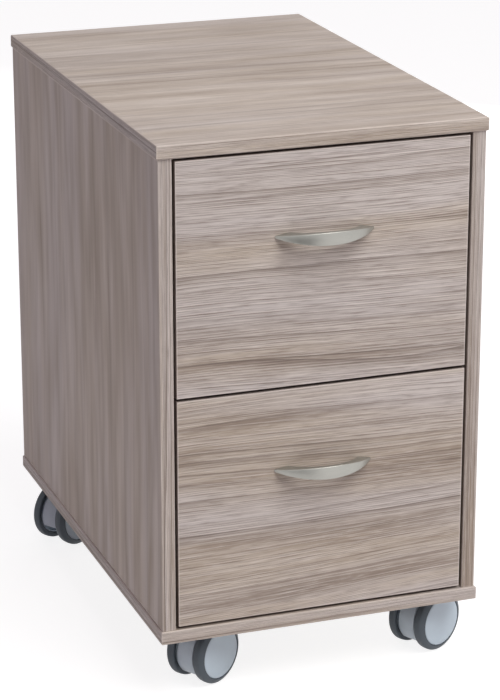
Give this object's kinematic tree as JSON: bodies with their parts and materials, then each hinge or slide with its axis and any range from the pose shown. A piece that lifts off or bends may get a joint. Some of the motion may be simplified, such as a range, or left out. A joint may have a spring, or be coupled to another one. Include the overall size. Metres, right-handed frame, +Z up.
{
  "type": "mobile pedestal",
  "caption": "Wheeled under-desk filing pedestal: a woodgrain board carcass with inset filing drawers on telescopic runners, bow handles and twin-wheel swivel castors.",
  "frame": {"origin": "on the floor under the middle of the overall box", "axes": "+X to the right seen from the front, +Y to the back, +Z up; the drawers open towards -Y"},
  "size_m": [0.4072, 0.6255, 0.665],
  "materials": {
    "wood_top": "grey-beige woodgrain melamine, grain along X",
    "wood_bottom": "grey-beige woodgrain melamine, grain along X",
    "wood_left_side": "grey-beige woodgrain melamine, upright grain",
    "wood_right_side": "grey-beige woodgrain melamine, upright grain",
    "wood_back": "grey-beige woodgrain melamine, upright grain",
    "wood_upper_front": "grey-beige woodgrain melamine, grain along X",
    "wood_lower_front": "grey-beige woodgrain melamine, grain along X",
    "biscuit_beech": "bare compressed beech",
    "drawer_box_grey": "pale grey melamine",
    "drawer_bottom_grey": "pale grey coated hardboard",
    "runner_zinc": "bright zinc plate",
    "file_rail_steel": "satin steel strip",
    "handle_nickel": "satin nickel",
    "castor_wheel_grey": "grey moulded plastic with a darker tread",
    "castor_housing_grey": "mid-grey moulded plastic",
    "castor_plate_steel": "dark zinc plate",
    "castor_pin_steel": "bright steel"
  },
  "bodies": {
    "carcass": {"top_panel": "wood_top", "bottom_panel": "wood_bottom", "left_side_panel": "wood_left_side", "right_side_panel": "wood_right_side", "back_panel": "wood_back", "wood_biscuits": "biscuit_beech", "upper_runner_outer": "runner_zinc", "lower_runner_outer": "runner_zinc", "castor_plates": "castor_plate_steel", "castor_kingpins": "castor_pin_steel"},
    "upper_drawer": {"upper_drawer_back": "drawer_box_grey", "upper_drawer_bottom": "drawer_bottom_grey", "upper_drawer_front": "wood_upper_front", "upper_drawer_handle": "handle_nickel", "upper_drawer_inner_front": "drawer_box_grey", "upper_drawer_left_side": "drawer_box_grey", "upper_drawer_right_side": "drawer_box_grey", "upper_file_rails": "file_rail_steel", "upper_runner_inner": "runner_zinc"},
    "upper_runner": {"upper_runner_middle": "runner_zinc"},
    "lower_drawer": {"lower_drawer_back": "drawer_box_grey", "lower_drawer_bottom": "drawer_bottom_grey", "lower_drawer_front": "wood_lower_front", "lower_drawer_handle": "handle_nickel", "lower_drawer_inner_front": "drawer_box_grey", "lower_drawer_left_side": "drawer_box_grey", "lower_drawer_right_side": "drawer_box_grey", "lower_file_rails": "file_rail_steel", "lower_runner_inner": "runner_zinc"},
    "lower_runner": {"lower_runner_middle": "runner_zinc"},
    "front_left_castor": {"front_left_castor_housing": "castor_housing_grey", "front_left_castor_axle": "castor_pin_steel"},
    "front_left_castor_left_wheel": {"front_left_castor_left_wheel": "castor_wheel_grey"},
    "front_left_castor_right_wheel": {"front_left_castor_right_wheel": "castor_wheel_grey"},
    "front_right_castor": {"front_right_castor_housing": "castor_housing_grey", "front_right_castor_axle": "castor_pin_steel"},
    "front_right_castor_left_wheel": {"front_right_castor_left_wheel": "castor_wheel_grey"},
    "front_right_castor_right_wheel": {"front_right_castor_right_wheel": "castor_wheel_grey"},
    "rear_left_castor": {"rear_left_castor_housing": "castor_housing_grey", "rear_left_castor_axle": "castor_pin_steel"},
    "rear_left_castor_left_wheel": {"rear_left_castor_left_wheel": "castor_wheel_grey"},
    "rear_left_castor_right_wheel": {"rear_left_castor_right_wheel": "castor_wheel_grey"},
    "rear_right_castor": {"rear_right_castor_housing": "castor_housing_grey", "rear_right_castor_axle": "castor_pin_steel"},
    "rear_right_castor_left_wheel": {"rear_right_castor_left_wheel": "castor_wheel_grey"},
    "rear_right_castor_right_wheel": {"rear_right_castor_right_wheel": "castor_wheel_grey"}
  },
  "joints": [
    {"name": "upper_drawer_slide", "type": "slide", "parent": "carcass", "child": "upper_drawer", "axis": [0, -1, 0], "range_m": [0, 0.48]},
    {"name": "upper_runner_slide", "type": "slide", "parent": "carcass", "child": "upper_runner", "axis": [0, -1, 0], "range_m": [0, 0.24]},
    {"name": "lower_drawer_slide", "type": "slide", "parent": "carcass", "child": "lower_drawer", "axis": [0, -1, 0], "range_m": [0, 0.48]},
    {"name": "lower_runner_slide", "type": "slide", "parent": "carcass", "child": "lower_runner", "axis": [0, -1, 0], "range_m": [0, 0.24]},
    {"name": "front_left_castor_swivel", "type": "hinge", "parent": "carcass", "child": "front_left_castor", "pos_m": [-0.14, -0.23025, 0.06], "axis": [0, 0, 1], "continuous": true},
    {"name": "front_left_castor_left_wheel_spin", "type": "hinge", "parent": "front_left_castor", "child": "front_left_castor_left_wheel", "pos_m": [-0.12304, -0.21965, 0.0375], "axis": [-0.5299, 0.848, 0], "continuous": true},
    {"name": "front_left_castor_right_wheel_spin", "type": "hinge", "parent": "front_left_castor", "child": "front_left_castor_right_wheel", "pos_m": [-0.12304, -0.21965, 0.0375], "axis": [-0.5299, 0.848, 0], "continuous": true},
    {"name": "front_right_castor_swivel", "type": "hinge", "parent": "carcass", "child": "front_right_castor", "pos_m": [0.14, -0.23025, 0.06], "axis": [0, 0, 1], "continuous": true},
    {"name": "front_right_castor_left_wheel_spin", "type": "hinge", "parent": "front_right_castor", "child": "front_right_castor_left_wheel", "pos_m": [0.15782, -0.22117, 0.0375], "axis": [-0.454, 0.891, 0], "continuous": true},
    {"name": "front_right_castor_right_wheel_spin", "type": "hinge", "parent": "front_right_castor", "child": "front_right_castor_right_wheel", "pos_m": [0.15782, -0.22117, 0.0375], "axis": [-0.454, 0.891, 0], "continuous": true},
    {"name": "rear_left_castor_swivel", "type": "hinge", "parent": "carcass", "child": "rear_left_castor", "pos_m": [-0.14, 0.24775, 0.06], "axis": [0, 0, 1], "continuous": true},
    {"name": "rear_left_castor_left_wheel_spin", "type": "hinge", "parent": "rear_left_castor", "child": "rear_left_castor_left_wheel", "pos_m": [-0.15732, 0.23775, 0.0375], "axis": [0.5, -0.866, 0], "continuous": true},
    {"name": "rear_left_castor_right_wheel_spin", "type": "hinge", "parent": "rear_left_castor", "child": "rear_left_castor_right_wheel", "pos_m": [-0.15732, 0.23775, 0.0375], "axis": [0.5, -0.866, 0], "continuous": true},
    {"name": "rear_right_castor_swivel", "type": "hinge", "parent": "carcass", "child": "rear_right_castor", "pos_m": [0.14, 0.24775, 0.06], "axis": [0, 0, 1], "continuous": true},
    {"name": "rear_right_castor_left_wheel_spin", "type": "hinge", "parent": "rear_right_castor", "child": "rear_right_castor_left_wheel", "pos_m": [0.12187, 0.2393, 0.0375], "axis": [0.4226, -0.9063, 0], "continuous": true},
    {"name": "rear_right_castor_right_wheel_spin", "type": "hinge", "parent": "rear_right_castor", "child": "rear_right_castor_right_wheel", "pos_m": [0.12187, 0.2393, 0.0375], "axis": [0.4226, -0.9063, 0], "continuous": true}
  ],
  "couplings": [
    {"joint": "upper_runner_slide", "follows": "upper_drawer_slide", "ratio": 0.5},
    {"joint": "lower_runner_slide", "follows": "lower_drawer_slide", "ratio": 0.5}
  ]
}
